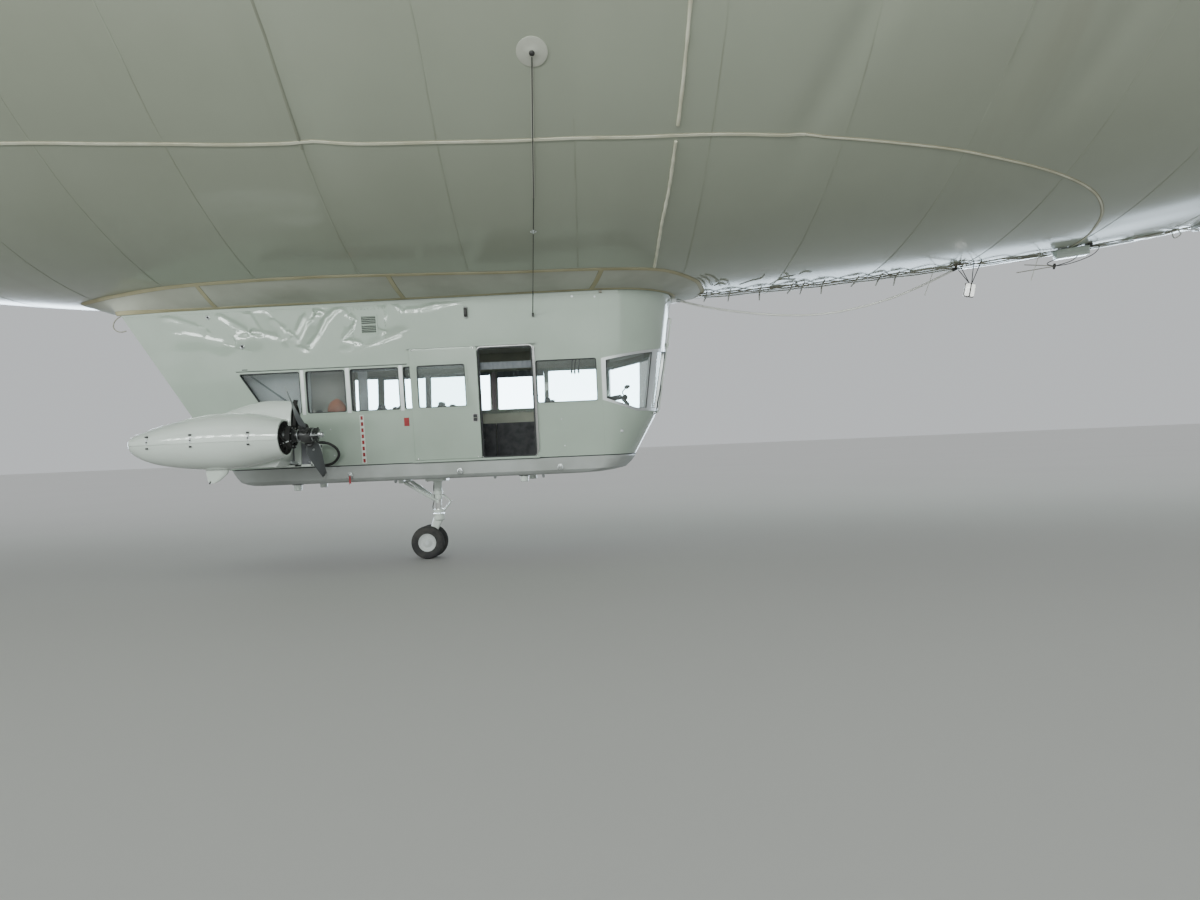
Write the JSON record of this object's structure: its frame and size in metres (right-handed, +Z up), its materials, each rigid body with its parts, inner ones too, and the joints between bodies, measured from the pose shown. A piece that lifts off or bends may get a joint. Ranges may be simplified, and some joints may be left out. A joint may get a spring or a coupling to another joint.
{
  "type": "1:2 scale model of a pressure airship",
  "caption": "Non-rigid airship: smooth hull, crossed tail fins with ruddervators, cabin gondola with a sliding door, engine nacelles with propellers, castoring wheels.",
  "frame": {"origin": "on the hull's axis at its widest station, where the surrounding air's lift holds the airship up", "axes": "+X to the nose, +Y to port, +Z up"},
  "size_m": [29.9503, 8.2, 10.1],
  "materials": {
    "hull_fabric": "matt coated fabric, weathered grey white",
    "white_paint": "glossy white paint",
    "skirt_fabric": "matt coated fabric with yellow-brown tape",
    "grey_paint": "satin grey paint",
    "dark_paint": "matt dark paint",
    "bare_metal": "brushed, a little dull",
    "blade_paint": "satin dark grey paint",
    "window_glass": "clear",
    "tyre_rubber": "matt black",
    "hose_rubber": "matt black",
    "seat_fabric": "woven upholstery",
    "rope": "braided rope"
  },
  "bodies": {
    "hull": {"envelope": "hull_fabric", "nose_cone": "white_paint", "mooring_spindle": "bare_metal", "tail_cone": "white_paint", "air_valve_fore": "grey_paint", "air_valve_aft": "grey_paint", "skirt": "skirt_fabric", "gondola_floor": "grey_paint", "gondola_side_starboard": "white_paint", "gondola_side_port": "white_paint", "gondola_chin": "white_paint", "gondola_brow": "white_paint", "gondola_tail": "white_paint", "gondola_roof": "white_paint", "windscreen_frame": "bare_metal", "glass_cockpit": "window_glass", "glass_starboard_cabin": "window_glass", "glass_starboard_front": "window_glass", "glass_port": "window_glass", "seats_cockpit": "seat_fabric", "seats_fore": "seat_fabric", "seats_middle": "seat_fabric", "seats_aft": "seat_fabric", "instrument_console": "dark_paint", "gear_leg": "bare_metal", "light_box": "grey_paint", "hanging_light": "grey_paint", "free_cable": "rope", "cable_clip_aft": "bare_metal", "cable_clip_fore": "bare_metal", "fin_upper_starboard": "hull_fabric", "fin_upper_port": "hull_fabric", "fin_lower_starboard": "hull_fabric", "fin_lower_port": "hull_fabric", "outrigger_starboard": "grey_paint", "nacelle_starboard": "white_paint", "engine_starboard": "dark_paint", "heater_hose_starboard": "hose_rubber", "stay_cable_starboard": "rope", "outrigger_port": "grey_paint", "nacelle_port": "white_paint", "engine_port": "dark_paint", "heater_hose_port": "hose_rubber", "stay_cable_port": "rope"},
    "door": {"cabin_door": "white_paint", "cabin_door_glass": "window_glass"},
    "gear_fork": {"gear_fork": "bare_metal"},
    "gear_wheels": {"gear_wheels": "tyre_rubber"},
    "propeller_starboard": {"propeller_starboard": "blade_paint"},
    "propeller_port": {"propeller_port": "blade_paint"},
    "ruddervator_upper_starboard": {"ruddervator_upper_starboard": "hull_fabric"},
    "ruddervator_upper_port": {"ruddervator_upper_port": "hull_fabric"},
    "ruddervator_lower_starboard": {"ruddervator_lower_starboard": "hull_fabric"},
    "ruddervator_lower_port": {"ruddervator_lower_port": "hull_fabric"}
  },
  "joints": [
    {"name": "door_slide", "type": "slide", "parent": "hull", "child": "door", "axis": [1, 0, 0], "range_m": [0, 0.395]},
    {"name": "propeller_starboard_spin", "type": "hinge", "parent": "hull", "child": "propeller_starboard", "pos_m": [-1.345, -0.975, -5.05], "axis": [1, 0, 0], "continuous": true},
    {"name": "propeller_port_spin", "type": "hinge", "parent": "hull", "child": "propeller_port", "pos_m": [-1.345, 0.975, -5.05], "axis": [1, 0, 0], "continuous": true},
    {"name": "gear_castor", "type": "hinge", "parent": "hull", "child": "gear_fork", "pos_m": [-0.725, 0, -5.66], "axis": [0, 0, 1], "continuous": true},
    {"name": "gear_wheel_roll", "type": "hinge", "parent": "gear_fork", "child": "gear_wheels", "pos_m": [-0.805, 0, -5.875], "axis": [0, 1, 0], "continuous": true},
    {"name": "ruddervator_upper_starboard_hinge", "type": "hinge", "parent": "hull", "child": "ruddervator_upper_starboard", "pos_m": [-14.65, -1.90919, 1.90919], "axis": [0, -0.7071, 0.7071], "range_deg": [-25, 25]},
    {"name": "ruddervator_upper_port_hinge", "type": "hinge", "parent": "hull", "child": "ruddervator_upper_port", "pos_m": [-14.65, 1.90919, 1.90919], "axis": [0, 0.7071, 0.7071], "range_deg": [-25, 25]},
    {"name": "ruddervator_lower_starboard_hinge", "type": "hinge", "parent": "hull", "child": "ruddervator_lower_starboard", "pos_m": [-14.65, -1.90919, -1.90919], "axis": [0, -0.7071, -0.7071], "range_deg": [-25, 25]},
    {"name": "ruddervator_lower_port_hinge", "type": "hinge", "parent": "hull", "child": "ruddervator_lower_port", "pos_m": [-14.65, 1.90919, -1.90919], "axis": [0, 0.7071, -0.7071], "range_deg": [-25, 25]}
  ]
}
